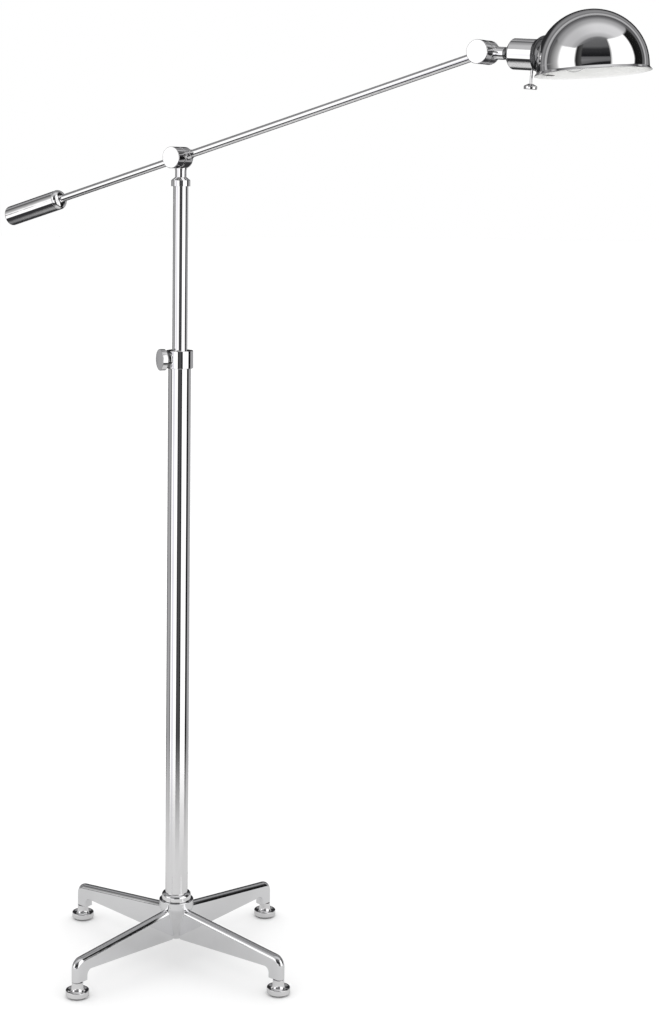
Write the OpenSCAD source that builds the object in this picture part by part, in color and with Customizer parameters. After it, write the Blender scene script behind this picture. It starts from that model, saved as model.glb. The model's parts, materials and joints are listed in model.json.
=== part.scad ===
// Pharmacy floor lamp: a four-legged cast base, a two-stage pole with a clamp
// collar, a counterweighted tilting arm and a domed shade on a turning head.
// Millimetres, +Z up. The origin is on the floor at the pole's axis. At rest the
// arm points along +X, and both tilt joints turn about lines parallel to Y.

/* [Base] */
// Distance from the pole's axis to each levelling foot
foot_reach = 230; // [180:1:290]
// Turn of the legs away from the arm's direction, in degrees
base_turn = -5; // [-45:1:45]
// Width of a leg between its flat sides
leg_w = 16; // [12:0.5:20]
// Height of the ridge of a leg where it leaves the hub
leg_root_top = 82; // [70:1:90]
// Height of the ridge line above the foot's axis
leg_tip_top = 62; // [54:1:68]
// Height of the underside of a leg at the inner side of its foot
leg_tip_under = 41; // [34:1:46]
// Height of the lower end of a leg
leg_end = 24; // [18:1:30]
// Outer radius of the bend at the end of a leg
leg_bend_r = 18; // [14:1:24]
// How far a leg's outer face stands beyond the foot's axis
leg_nose = 10; // [9:0.5:14]
// Depth of the leg's upright end, measured along the leg
leg_end_depth = 25; // [21:0.5:32]
// Radius of the fillet under the leg's bend
leg_fillet = 9; // [4:0.5:12]
// Diameter of the hub
hub_d = 58; // [52:1:76]
// Height of the hub's underside
hub_under = 30; // [26:1:34]
// Height of the hub's top face
hub_top = 96; // [90:1:110]
// Height where the hub's underside taper meets its wall
hub_taper_top = 84; // [70:1:88]
// Diameter of the hub's lower core
hub_core_d = 28; // [26:1:34]
// Height of the floor of the pole's socket
socket_floor = 60; // [56:1:66]

/* [Feet] */
// Diameter of a foot's disc
foot_d = 38; // [30:1:50]
// Height of the top edge of a foot's disc
foot_top = 11; // [8:0.5:14]
// Diameter of a foot's neck
foot_neck_d = 18.6; // [14:0.2:22]
// Diameter of a foot's threaded stud
foot_stud_d = 8; // [6:1:10]
// Length of the stud inside the leg
foot_stud_len = 17; // [10:1:22]
// Diameter of the nylon glide under a foot
glide_d = 32; // [20:1:36]
// Thickness of the glide
glide_t = 2; // [1.5:0.5:3]

/* [Pole] */
// Outer diameter of the lower tube
lower_d = 38.1; // [34:0.1:44]
// Wall of the lower tube
lower_wall = 1.5; // [1:0.1:2.5]
// Outer diameter of the upper tube
upper_d = 25.4; // [20:0.1:28]
// Wall of the upper tube
upper_wall = 1.4; // [1:0.1:2.5]
// Width of the ring at the foot of the pole
base_ring_d = 50; // [46:1:56]
// Height of the straight part of that ring
base_ring_h = 6.5; // [4:0.5:10]
// Height of the underside of the clamp collar
collar_z = 1001; // [700:1:1100]
// Height of the collar
collar_h = 30; // [26:1:40]
// Outer diameter of the collar
collar_d = 45.2; // [42:0.2:56]
// Diameter of the collar's side boss
clamp_boss_d = 30; // [20:1:30]
// Distance from the pole's axis to the end of that boss
clamp_boss_reach = 26.5; // [25:0.5:32]
// Direction in which the clamp knob faces, in degrees
clamp_turn = -120; // [-180:1:180]
// Thickness of the clamp knob
clamp_knob_t = 9.5; // [7:0.5:16]
// Diameter of the clamp screw
clamp_screw_d = 6; // [5:1:8]
// Length of the bush under the collar's top
collar_bush_h = 40; // [30:1:60]
// How far the mast can be raised from its rest height
mast_rise = 150; // [50:5:200]
// Length of the guide bush at the bottom of the mast
guide_bush_h = 30; // [20:1:50]
// Height of the cord inlet above the floor
cord_z = 135; // [120:1:200]
// Diameter of the cord inlet's hole
cord_hole_d = 7; // [6:0.5:9]

/* [Tilt joints] */
// Height of the pivot above the floor
pivot_height = 1355; // [1200:1:1450]
// Diameter of the round joint bodies
joint_d = 36; // [32:1:44]
// Thickness of a joint across both fork cheeks
joint_t = 21; // [20:0.5:26]
// Thickness of one fork cheek
cheek_t = 2.4; // [2:0.1:3]
// Diameter of the knobs
knob_d = 36; // [30:1:44]
// Thickness of the two joint knobs
knob_t = 16; // [10:0.5:20]
// Diameter of a fork's stem
stem_d = 19; // [16:0.5:20]
// Distance from a pivot to the end of its fork's stem
stem_end = 33; // [31:1:50]
// Diameter of the spigot beyond the stem
spigot_d = 12; // [10:0.5:13]
// Diameter of the pivot bolts
bolt_d = 8; // [6:1:10]
// Diameter of the cap on top of the mast
cap_d = 32; // [30:1:40]
// Height of the cap's straight part
cap_h = 10; // [8:0.5:16]
// Height of the cap's taper
cap_taper = 5; // [3:0.5:8]

/* [Arm] */
// Tilt of the arm above level at rest, in degrees
arm_tilt = 15; // [-20:1:20]
// Distance between the two tilt joints
arm_length = 600; // [450:1:750]
// Diameter of the arm's two rods
arm_d = 12.7; // [10:0.1:13.5]
// Wall of the hollow front rod
arm_wall = 1.2; // [1:0.1:2]
// Distance from the pivot to the far end of the counterweight
weight_reach = 405; // [330:1:480]
// Length of the counterweight
weight_len = 127; // [90:1:160]
// Diameter of the counterweight
weight_d = 35; // [28:1:45]

/* [Head] */
// Slope of the lamp holder's axis below level at rest, in degrees
head_drop = 4.5; // [-10:0.5:15]
// Distance from the head joint to the back of the socket cup
cup_start = 37; // [36:0.5:45]
// Length of the socket cup
cup_len = 51; // [46:1:60]
// Outer diameter of the socket cup
cup_d = 46; // [44:1:54]
// Wall of the socket cup
cup_wall = 1.5; // [1:0.1:2]
// Outer diameter of the lamp holder
holder_d = 32; // [31:0.5:33]
// Diameter of the bulb's screw cap
bulb_cap_d = 26; // [25:0.1:26]
// Diameter of the bulb's globe
bulb_d = 44; // [38:1:46]
// Distance from the lamp holder's mouth to the bulb's tip
bulb_reach = 54; // [50:1:70]

/* [Shade] */
// Outer radius of the dome
shade_r = 80; // [70:1:100]
// Wall of the shade
shade_wall = 1.2; // [1:0.1:2]
// Height of the straight skirt under the dome
skirt_h = 8; // [6:0.5:14]
// Height of the flared lip
lip_h = 4; // [3:0.5:6]
// How far the lip stands out
lip_w = 3.5; // [2:0.5:5]
// Distance by which the dome's centre is below the holder's axis
shade_drop = 10; // [6:0.5:14]
// Slope of the shade's opening against the holder's axis, in degrees
shade_tilt = 8.5; // [0:0.5:15]
// Diameter of the ring where the cup meets the shade
shade_ring_d = 59; // [54:1:62]

/* [Switch] */
// Distance of the switch stem from the head joint
switch_at = 79; // [74:0.5:80]
// Diameter of the switch stem
switch_stem_d = 4; // [3:0.5:5]
// Diameter of the switch knob
switch_knob_d = 19.5; // [14:0.5:26]
// Distance from the holder's axis to the face of the switch knob
switch_reach = 50.5; // [44:0.5:60]

/* [Fits] */
// Radial clearance of shafts that turn or slide
running = 0.05; // [0.02:0.01:0.09]
// Radial clearance of pieces that are fixed together
seat = 0.02; // [0.01:0.01:0.05]
// Gap between the faces of pieces that move past each other
gap = 0.3; // [0.3:0.05:0.6]

/* [Hidden] */
FOOT_COUNT = 4;
$fn = 96;

EDGE = 1;            // small bevels on turned parts
FINE_EDGE = 0.5;     // finer bevels
LEAD_R = 2.5;        // radius of the internal leads
FILLET_STEPS = 16;   // facets of the fillet under a leg's bend

// Base
leg_half = leg_w / 2;
hub_r = hub_d / 2;
leg_slope = atan((leg_root_top - leg_tip_top) / (foot_reach - hub_r));
bend_r = leg_bend_r - leg_half;                   // bend of the half-round edge's centre line
bend_x = foot_reach + leg_nose - leg_bend_r;      // centre of the bend
ridge_run = (bend_x - hub_r + leg_bend_r * sin(leg_slope)) / cos(leg_slope);
bend_z = leg_root_top - leg_bend_r * cos(leg_slope) - ridge_run * sin(leg_slope);
leg_inner_x = foot_reach + leg_nose - leg_end_depth;
under_rise = 1;                                   // a leg's underside starts this far above the hub's
under_slope = atan((leg_tip_under - hub_under - under_rise) / (leg_inner_x - hub_core_d / 2));
leg_root_sink = 10;                               // a leg runs on inside the hub by this much
socket_r = lower_d / 2 + seat;
stud_d = 8;                                       // bolt under the pole
nut_recess_d = 20;
nut_recess_top = 40;
nut_across = 15;                                  // across the corners of the nut
nut_h = 6.5;
washer_t = 1.6;
plug_h = 12;

// Pole
lower_in_r = lower_d / 2 - lower_wall;
lower_tube_top = collar_z + collar_h - 7;
clamp_z = collar_z + collar_h / 2;
clamp_knob_start = clamp_boss_reach + gap + 0.2;
pad_len = 2.4;
pad_start = upper_d / 2 + gap;
bush_bore_r = upper_d / 2 + running;
collar_bush_bottom = lower_tube_top - collar_bush_h;
clip_h = 3.5;
mast_top = pivot_height - stem_end - cap_taper - 3;   // top of the upper tube
mast_bottom = collar_bush_bottom - mast_rise - guide_bush_h - 2 * clip_h - 4;
cap_bottom = pivot_height - stem_end - cap_taper - cap_h;
cord_turn = 90;
grommet_flange_d = 16;
grommet_body_d = 11.8;
grommet_in = lower_in_r - 1;
grommet_out = lower_d / 2 + 2.4;
supply_lead_top = mast_bottom - (cap_bottom - collar_z - collar_h) - 20;

// Joints
joint_r = joint_d / 2;
cheek_in = joint_t / 2 - cheek_t;
block_half = cheek_in - gap;
boss_root_r = block_half - gap;
boss_tip_r = arm_d / 2 + 0.9;
boss_reach = joint_r + 7;
saddle_r = joint_r + 1.3;
rod_depth = joint_r / 2;                          // where the rods end inside a block
knob_back = joint_t / 2 + 1.1;
knob_washer_t = 0.8;
bolt_bite = 12;                                   // length of bolt inside a knob
bolt_head_d = 17;
bolt_head_t = 3;
lead_bore_d = 7;

// Arm
grub_d = 5;                                       // set screw of the counterweight

// Head
cup_end = cup_start + cup_len;
cup_back_t = 3;
cup_shoulder = 10.5;
holder_start = cup_start + 16;
shade_x = cup_end + 7.5 + shade_r;                // dome centre along the holder's axis
holder_end = shade_x - shade_r + 17.5;
shell_bore_r = bulb_cap_d / 2 + 0.9;
shell_start = holder_end - 31;
bulb_cap_len = 25;
lock_ring_r = 24;
lip_root = 0.8;                                   // height over which the lip leaves the skirt
swivel_ring_d = 18;
swivel_nut_across = 19;
swivel_nut_t = 4.5;
switch_body_d = 12;

module ring(outer_r, inner_r, h) {
    difference() {
        cylinder(r = outer_r, h = h);
        translate([0, 0, -1]) cylinder(r = inner_r, h = h + 2);
    }
}

module bevelled(r, h, edge = EDGE) {
    rotate_extrude() polygon([[0, 0], [r - edge, 0], [r, edge], [r, h - edge], [r - edge, h], [0, h]]);
}

// Frames of reference
module outward(turn, z) translate([0, 0, z]) rotate([0, 0, turn]) rotate([0, 90, 0]) children();
module pivot_frame() translate([0, 0, pivot_height]) children();
module arm_frame() pivot_frame() rotate([0, -arm_tilt, 0]) children();
module head_joint_frame() arm_frame() translate([arm_length, 0, 0]) children();
module head_frame() head_joint_frame() rotate([0, arm_tilt + head_drop, 0]) children();
module along_x() rotate([0, 90, 0]) children();
module to_front() rotate([90, 0, 0]) children();      // turns +Z to -Y, where the knobs are
module leg_frame(i) rotate([0, 0, base_turn + i * 360 / FOOT_COUNT]) children();
module shade_frame() head_frame() translate([shade_x, 0, -shade_drop]) rotate([0, -shade_tilt, 0]) children();

// ---- Base ----

// flat-sided bar with a half-round edge outwards, its round centred on the origin
module leg_section(depth) {
    circle(r = leg_half);
    translate([-depth, -leg_half]) square([depth, leg_w]);
}

module leg_bar() {
    translate([bend_x, 0, bend_z]) {
        rotate([0, leg_slope, 0]) translate([0, 0, bend_r]) rotate([0, -90, 0])
            linear_extrude(ridge_run + leg_root_sink) leg_section(leg_root_top);
        to_front() rotate_extrude(angle = 90 - leg_slope) translate([bend_r, 0]) leg_section(bend_r);
    }
    translate([bend_x + bend_r, 0, leg_end]) linear_extrude(bend_z - leg_end) leg_section(leg_end_depth);
}

module leg_underside() {
    corner_x = leg_inner_x - leg_fillet;
    corner_z = leg_tip_under - leg_fillet * (tan(under_slope) + 1 / cos(under_slope));
    fillet = [for (i = [0 : FILLET_STEPS])
        let (a = i / FILLET_STEPS * (90 + under_slope)) [corner_x, corner_z] + leg_fillet * [cos(a), sin(a)]];
    translate([0, leg_w, 0]) to_front() linear_extrude(2 * leg_w) polygon(concat(
        [[0, -leg_root_top], [2 * foot_reach, -leg_root_top], [2 * foot_reach, leg_end],
         [leg_inner_x, leg_end]], fillet,
        [[0, hub_under + under_rise - hub_core_d / 2 * tan(under_slope)]]));
}

module leg_solid() {
    difference() {
        leg_bar();
        leg_underside();
    }
}

module hub_solid() {
    core_r = hub_core_d / 2;
    rotate_extrude() polygon([
        [0, hub_under], [core_r, hub_under], [core_r, hub_under + 6], [hub_r, hub_taper_top],
        [hub_r, hub_top - EDGE], [hub_r - EDGE, hub_top], [0, hub_top]]);
}

module base_casting() {
    color("lightgray") difference() {
        union() {
            hub_solid();
            for (i = [0 : FOOT_COUNT - 1]) leg_frame(i) leg_solid();
        }
        translate([0, 0, socket_floor]) cylinder(r = socket_r, h = leg_root_top);
        translate([0, 0, hub_under - 1]) cylinder(r = stud_d / 2 + seat, h = socket_floor);
        translate([0, 0, hub_under - 1]) cylinder(d = nut_recess_d, h = nut_recess_top - hub_under + 1);
        for (i = [0 : FOOT_COUNT - 1]) leg_frame(i) translate([foot_reach, 0, leg_end - 1])
            cylinder(r = foot_stud_d / 2 + running, h = foot_stud_len + 2);
    }
}

module base_ring() {
    bead = base_ring_d / 2 - socket_r - FINE_EDGE;
    color("silver") translate([0, 0, hub_top]) rotate_extrude() {
        translate([socket_r, 0]) square([base_ring_d / 2 - socket_r, base_ring_h]);
        intersection() {
            translate([socket_r, base_ring_h]) circle(r = bead);
            translate([socket_r, 0]) square([bead + 1, base_ring_h + bead + 1]);
        }
    }
}

module pole_plug() {
    color("gray") translate([0, 0, socket_floor])
        ring(lower_in_r - seat, stud_d / 2 + seat, plug_h);
}

module pole_stud() {
    color("gray") translate([0, 0, hub_under + 1]) cylinder(d = stud_d, h = socket_floor - hub_under + plug_h - 2);
}

module pole_washer() {
    color("gray") translate([0, 0, nut_recess_top - washer_t])
        ring(nut_recess_d / 2 - 1.5, stud_d / 2 + seat, washer_t);
}

module pole_nut() {
    color("gray") translate([0, 0, nut_recess_top - washer_t - nut_h]) difference() {
        cylinder(d = nut_across, h = nut_h, $fn = 6);
        translate([0, 0, -1]) cylinder(r = stud_d / 2 + seat, h = nut_h + 2);
    }
}

module foot() {
    r = foot_d / 2;
    neck_r = foot_neck_d / 2;
    neck_top = leg_end - gap - 0.1;
    stud_r = foot_stud_d / 2;
    stud_top = leg_end + foot_stud_len;
    dish = 1.6;
    color("silver") rotate_extrude() polygon([
        [0, glide_t], [r - EDGE, glide_t], [r, glide_t + EDGE], [r, foot_top - EDGE], [r - EDGE, foot_top],
        [r - 2.5, foot_top - 0.2], [neck_r + 3.2, foot_top - dish], [neck_r + 1.6, foot_top],
        [neck_r + 0.5, foot_top + 3.5], [neck_r, foot_top + 7.5], [neck_r, neck_top],
        [stud_r, neck_top], [stud_r, stud_top], [0, stud_top]]);
}

module glide() {
    color("dimgray") rotate_extrude() polygon([
        [0, 0], [glide_d / 2 - FINE_EDGE, 0], [glide_d / 2, FINE_EDGE], [glide_d / 2, glide_t], [0, glide_t]]);
}

// ---- Pole ----

module lower_tube() {
    color("silver") difference() {
        translate([0, 0, socket_floor]) ring(lower_d / 2, lower_in_r, lower_tube_top - socket_floor);
        outward(cord_turn, cord_z) cylinder(r = grommet_body_d / 2 + seat, h = lower_d);
        outward(clamp_turn, clamp_z) cylinder(r = clamp_screw_d / 2 + 1.5, h = lower_d);
    }
}

module cord_grommet() {
    color("dimgray") outward(cord_turn, cord_z) difference() {
        union() {
            translate([0, 0, grommet_in]) cylinder(d = grommet_body_d, h = grommet_out - grommet_in);
            difference() {
                translate([0, 0, grommet_in]) bevelled(grommet_flange_d / 2, grommet_out - grommet_in, FINE_EDGE);
                translate([-lower_d, 0, 0]) along_x() cylinder(d = lower_d, h = 2 * lower_d);
            }
        }
        cylinder(d = cord_hole_d, h = lower_d);
    }
}

module supply_lead() {
    color("dimgray") rotate([0, 0, -cord_turn]) translate([lower_in_r - 2 * LEAD_R, 0, socket_floor + plug_h])
        cylinder(r = LEAD_R, h = supply_lead_top - socket_floor - plug_h);
}

module clamp_collar() {
    boss_r = clamp_boss_d / 2 - gap;
    color("silver") difference() {
        union() {
            translate([0, 0, collar_z]) bevelled(collar_d / 2, collar_h);
            outward(clamp_turn, clamp_z) {
                cylinder(r = boss_r, h = clamp_boss_reach - 5.5);
                translate([0, 0, clamp_boss_reach - 5.5]) cylinder(r1 = boss_r, r2 = boss_r - 3.2, h = 5.5);
            }
        }
        translate([0, 0, collar_z - 1]) cylinder(r = socket_r, h = lower_tube_top - collar_z + 1);
        translate([0, 0, collar_z]) cylinder(r = upper_d / 2 + gap, h = collar_h + 1);
        outward(clamp_turn, clamp_z) cylinder(r = clamp_screw_d / 2 + running, h = collar_d);
    }
}

module collar_bush() {
    color("white") difference() {
        translate([0, 0, collar_bush_bottom]) ring(lower_in_r - seat, bush_bore_r, collar_bush_h - 0.5);
        outward(clamp_turn, clamp_z) cylinder(r = clamp_screw_d / 2 + running, h = collar_d);
    }
}

module clamp_pad() {
    color("goldenrod") outward(clamp_turn, clamp_z) translate([0, 0, pad_start])
        cylinder(d = clamp_screw_d - 0.1, h = pad_len);
}

module clamp_screw() {
    start = pad_start + pad_len + gap;
    color("gray") outward(clamp_turn, clamp_z) translate([0, 0, start])
        cylinder(d = clamp_screw_d, h = clamp_knob_start + clamp_knob_t - 2.5 - start);
}

module clamp_knob() {
    color("silver") outward(clamp_turn, clamp_z) translate([0, 0, clamp_knob_start]) difference() {
        bevelled(knob_d / 2, clamp_knob_t);
        translate([0, 0, -1]) cylinder(r = clamp_screw_d / 2 + seat, h = clamp_knob_t - 1);
    }
}

module guide_bush() {
    color("white") translate([0, 0, mast_bottom + clip_h + gap])
        ring(lower_in_r - running, bush_bore_r, guide_bush_h);
}

module bush_clips() {
    clip_r = lower_in_r - 1;
    color("gray") for (z = [mast_bottom, mast_bottom + clip_h + guide_bush_h + 2 * gap])
        translate([0, 0, z]) ring(clip_r, upper_d / 2 + seat, clip_h);
}

module upper_tube() {
    color("silver") translate([0, 0, mast_bottom]) ring(upper_d / 2, upper_d / 2 - upper_wall, mast_top - mast_bottom);
}

module mast_cap() {
    top = cap_h + cap_taper;
    tube_seat = mast_top - cap_bottom;
    color("silver") translate([0, 0, cap_bottom]) rotate_extrude() polygon([
        [upper_d / 2 + seat, 0], [cap_d / 2 - FINE_EDGE, 0], [cap_d / 2, FINE_EDGE], [cap_d / 2, cap_h],
        [stem_d / 2 + 0.4, top], [spigot_d / 2 + seat, top], [spigot_d / 2 + seat, tube_seat],
        [upper_d / 2 + seat, tube_seat]]);
}

module mast_lead() {
    color("dimgray") translate([LEAD_R + upper_wall - upper_d / 2, 0, mast_bottom + clip_h])
        translate([1, 0, 0]) cylinder(r = LEAD_R, h = mast_top - mast_bottom - 2 * clip_h);
}

// ---- Tilt joints: the pivot is at the origin, the knob towards -Y, the stem along -Z ----

module fork(spigot_len) {
    shoulder_r = joint_t / 2;
    difference() {
        union() {
            for (y = [-cheek_in, joint_t / 2]) translate([0, y, 0]) to_front() cylinder(r = joint_r, h = cheek_t);
            translate([0, 0, -stem_end]) cylinder(d = stem_d, h = stem_end - joint_r / 2);
            translate([0, 0, -joint_r - 4]) cylinder(r1 = stem_d / 2, r2 = shoulder_r, h = 4);
            translate([0, 0, -joint_r]) cylinder(r = shoulder_r, h = joint_r / 2);
            translate([0, 0, -stem_end - spigot_len]) cylinder(d = spigot_d, h = spigot_len + 1);
        }
        translate([0, cheek_in, 0]) to_front() cylinder(r = saddle_r, h = 2 * cheek_in);
        translate([-joint_d, -cheek_in, -joint_r]) cube([joint_d - stem_d / 2, 2 * cheek_in, joint_r]);
        translate([stem_d / 2, -cheek_in, -joint_r]) cube([joint_d - stem_d / 2, 2 * cheek_in, joint_r]);
        translate([0, joint_t, 0]) to_front() cylinder(r = bolt_d / 2 + seat, h = 2 * joint_t);
        translate([0, 0, -stem_end - spigot_len - 1]) cylinder(d = lead_bore_d, h = stem_end + spigot_len);
    }
}

// A block takes a rod from each of the given sides of the pivot
module block(sides) {
    difference() {
        union() {
            translate([0, block_half, 0]) to_front() bevelled(joint_r, 2 * block_half, FINE_EDGE);
            for (side = sides) scale_side(side) translate([rod_depth, 0, 0]) along_x()
                cylinder(r1 = boss_root_r, r2 = boss_tip_r, h = boss_reach - rod_depth);
        }
        translate([0, joint_t, 0]) to_front() cylinder(r = bolt_d / 2 + running, h = 2 * joint_t);
        for (side = sides) scale_side(side) translate([rod_depth, 0, 0]) along_x()
            cylinder(r = arm_d / 2 + seat, h = boss_reach);
    }
}

module scale_side(side) rotate([0, 0, side > 0 ? 0 : 180]) children();

module joint_bolt() {
    translate([0, joint_t / 2, 0]) to_front() cylinder(d = bolt_d, h = joint_t / 2 + knob_back + bolt_bite);
    translate([0, joint_t / 2 + bolt_head_t, 0]) to_front() bevelled(bolt_head_d / 2, bolt_head_t);
}

module joint_washer() {
    translate([0, -joint_t / 2, 0]) to_front() ring(joint_r - FINE_EDGE, bolt_d / 2 + seat, knob_washer_t);
}

module joint_knob() {
    translate([0, -knob_back, 0]) to_front() difference() {
        bevelled(knob_d / 2, knob_t);
        translate([0, 0, -1]) cylinder(r = bolt_d / 2 + running, h = bolt_bite + 1 + gap);
    }
}

module pivot_fork() color("silver") pivot_frame() fork(mast_spigot);
module pivot_bolt() color("gray") pivot_frame() joint_bolt();
module pivot_washer() color("white") pivot_frame() joint_washer();
module pivot_knob() color("whitesmoke") pivot_frame() joint_knob();
module pivot_block() color("silver") arm_frame() block([1, -1]);

module head_fork() color("silver") head_frame() rotate([0, -90, 0]) fork(head_spigot);
module head_bolt() color("gray") head_frame() joint_bolt();
module head_washer() color("white") head_frame() joint_washer();
module head_knob() color("whitesmoke") head_frame() joint_knob();
module head_block() color("silver") head_joint_frame() block([-1]);

mast_spigot = pivot_height - stem_end - mast_top;
head_spigot = cup_start - stem_end + cup_back_t + gap + swivel_nut_t;

// ---- Arm ----

module front_arm() {
    color("silver") arm_frame() translate([rod_depth, 0, 0]) along_x()
        ring(arm_d / 2, arm_d / 2 - arm_wall, arm_length - 2 * rod_depth);
}

module arm_lead() {
    color("dimgray") arm_frame() translate([rod_depth + 3, 0, arm_wall + LEAD_R - arm_d / 2 + 0.1])
        along_x() cylinder(r = LEAD_R, h = arm_length - 2 * rod_depth - 6);
}

module rear_arm() {
    color("silver") arm_frame() rotate([0, 0, 180]) translate([rod_depth, 0, 0]) along_x()
        cylinder(d = arm_d, h = weight_reach - rod_depth - 8);
}

module counterweight() {
    r = weight_d / 2;
    bore_r = arm_d / 2 + seat;
    groove_at = 8.6;
    groove_w = 1.2;
    groove_r = r - 0.8;
    round_r = 3;
    arc = [for (a = [0 : 15 : 90]) round_r * [sin(a), 1 - cos(a)]];
    color("silver") difference() {
        arm_frame() rotate([0, 0, 180]) translate([weight_reach - weight_len, 0, 0]) along_x()
            rotate_extrude() polygon(concat(
                [[bore_r, 0.4], [r - 8.5, 0], [r - 4.5, 0.9], [r - 1.7, 3], [r, 6.4], [r, groove_at],
                 [groove_r, groove_at], [groove_r, groove_at + groove_w], [r, groove_at + groove_w]],
                [for (p = arc) [r - p[1], weight_len - round_r + p[0]]],
                [[0, weight_len], [0, weight_len - 7.8], [bore_r, weight_len - 7.8]]));
        weight_screw_frame() cylinder(r = grub_d / 2 + seat, h = weight_d);
    }
}

module weight_screw() {
    color("gray") weight_screw_frame() difference() {
        translate([0, 0, arm_d / 2]) cylinder(d = grub_d, h = weight_d / 2 - arm_d / 2 - 1.5);
        translate([0, 0, weight_d / 2 - 4]) cylinder(d = grub_d * 0.56, h = weight_d, $fn = 6);
    }
}

module weight_screw_frame() {
    arm_frame() translate([weight_len - 20 - weight_reach, 0, 0]) rotate([180, 0, 0]) children();
}

// ---- Head ----

module swivel_ring() {
    color("dimgray") head_frame() translate([stem_end, 0, 0]) along_x()
        ring(swivel_ring_d / 2, spigot_d / 2 + seat, cup_start - stem_end - gap);
}

module swivel_nut() {
    color("gray") head_frame() translate([cup_start + cup_back_t + gap, 0, 0]) along_x() difference() {
        cylinder(d = swivel_nut_across, h = swivel_nut_t, $fn = 6);
        translate([0, 0, -1]) cylinder(r = spigot_d / 2 + seat, h = swivel_nut_t + 2);
    }
}

module socket_cup() {
    r = cup_d / 2;
    bore_r = spigot_d / 2 + running;
    color("silver") head_frame() difference() {
        translate([cup_start, 0, 0]) along_x() rotate_extrude() polygon([
            [bore_r, 0], [stem_d / 2 + 0.3, 0], [r - EDGE, cup_shoulder - EDGE], [r, cup_shoulder + FINE_EDGE],
            [r, cup_len], [r - cup_wall, cup_len], [r - cup_wall, cup_shoulder + EDGE],
            [stem_d / 2 + 1.5, cup_back_t], [bore_r, cup_back_t]]);
        translate([switch_at, 0, -cup_d]) cylinder(r = switch_stem_d / 2 + gap, h = cup_d);
    }
}

module lamp_holder() {
    flange_r = cup_d / 2 - cup_wall - seat;
    color("ivory") head_frame() along_x() difference() {
        union() {
            translate([0, 0, holder_start]) cylinder(d = holder_d, h = holder_end - holder_start);
            translate([0, 0, holder_start]) cylinder(r = flange_r, h = 3);
        }
        translate([0, 0, shell_start]) cylinder(r = shell_bore_r, h = holder_end);
    }
}

module screw_shell() {
    color("goldenrod") head_frame() translate([shell_start, 0, 0]) along_x()
        ring(shell_bore_r - seat, bulb_cap_d / 2 + 0.2, holder_end - shell_start - 4);
}

module bulb_cap() {
    start = holder_end - bulb_cap_len - 1;
    color("lightgray") head_frame() translate([start, 0, 0]) along_x()
        rotate_extrude() polygon([
            [0, 0], [5, 0], [bulb_cap_d / 2 - 3, 3], [bulb_cap_d / 2, 4.5], [bulb_cap_d / 2, bulb_cap_len],
            [0, bulb_cap_len]]);
}

module bulb_glass() {
    neck_r = bulb_cap_d / 2 - FINE_EDGE;
    globe_r = bulb_d / 2;
    globe_at = bulb_reach + 1 - globe_r;
    color("white") head_frame() translate([holder_end - 1, 0, 0]) along_x() rotate_extrude() {
        polygon([[0, 0], [neck_r, 0], [neck_r + 0.8, 6], [globe_r * cos(35), globe_at - globe_r * sin(35)],
                 [0, globe_at]]);
        intersection() {
            translate([0, globe_at]) circle(r = globe_r);
            translate([0, globe_at - globe_r]) square([globe_r, 2 * globe_r]);
        }
    }
}

module shade_solid(r, drop) {
    sphere(r = r);
    translate([0, 0, -drop]) cylinder(r = r, h = drop);
}

module shade_ring() {
    r = shade_ring_d / 2;
    start = cup_end - 1.8;
    color("dimgray") difference() {
        head_frame() translate([start, 0, 0]) along_x() difference() {
            rotate_extrude() polygon([
                [holder_d / 2 + gap, 2], [cup_d / 2 + seat, 2], [cup_d / 2 + seat, 0], [cup_d / 2 + 0.9, 0],
                [cup_d / 2 + 1.4, 1.8], [r - 2.4, 5.3], [r - 0.6, 8.8], [r, 12.3], [r, 30],
                [holder_d / 2 + gap, 30]]);
        }
        shade_frame() shade_solid(shade_r, skirt_h);
        shade_frame() translate([0, 0, -skirt_h + lip_root - shade_r + gap]) cylinder(r = 2 * shade_r, h = shade_r);
    }
}

module shade_clamp_ring() {
    color("gray") intersection() {
        head_frame() translate([cup_end, 0, 0]) along_x()
            ring(lock_ring_r, holder_d / 2 + seat, holder_end - cup_end - 1);
        shade_frame() sphere(r = shade_r - shade_wall);
    }
}

module shade() {
    in_r = shade_r - shade_wall;
    color("silver") difference() {
        shade_frame() rotate_extrude() {
            intersection() {
                difference() {
                    circle(r = shade_r);
                    circle(r = in_r);
                }
                square(2 * shade_r);
            }
            polygon([[in_r, 0], [in_r, -skirt_h], [in_r + lip_w - FINE_EDGE, -skirt_h - lip_h],
                     [shade_r + lip_w, -skirt_h - lip_h], [shade_r + lip_w, -skirt_h - lip_h + FINE_EDGE],
                     [shade_r + 0.6, -skirt_h], [shade_r, -skirt_h + lip_root], [shade_r, 0]]);
        }
        head_frame() translate([cup_end, 0, 0]) along_x() cylinder(r = holder_d / 2 + gap, h = shade_r / 2);
    }
}

// ---- Switch ----

module switch_frame() head_frame() translate([switch_at, 0, 0]) rotate([180, 0, 0]) children();

module switch_body() {
    start = holder_d / 2 + 0.1;
    color("dimgray") switch_frame() difference() {
        translate([0, 0, start]) cylinder(d = switch_body_d, h = cup_d / 2 - cup_wall - 1.2 - start);
        translate([0, 0, start + 1]) cylinder(r = switch_stem_d / 2 + running, h = cup_d);
    }
}

module switch_stem() {
    start = holder_d / 2 + 1.5;
    color("silver") switch_frame() translate([0, 0, start])
        cylinder(d = switch_stem_d, h = switch_reach - 5.5 - start);
}

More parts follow.
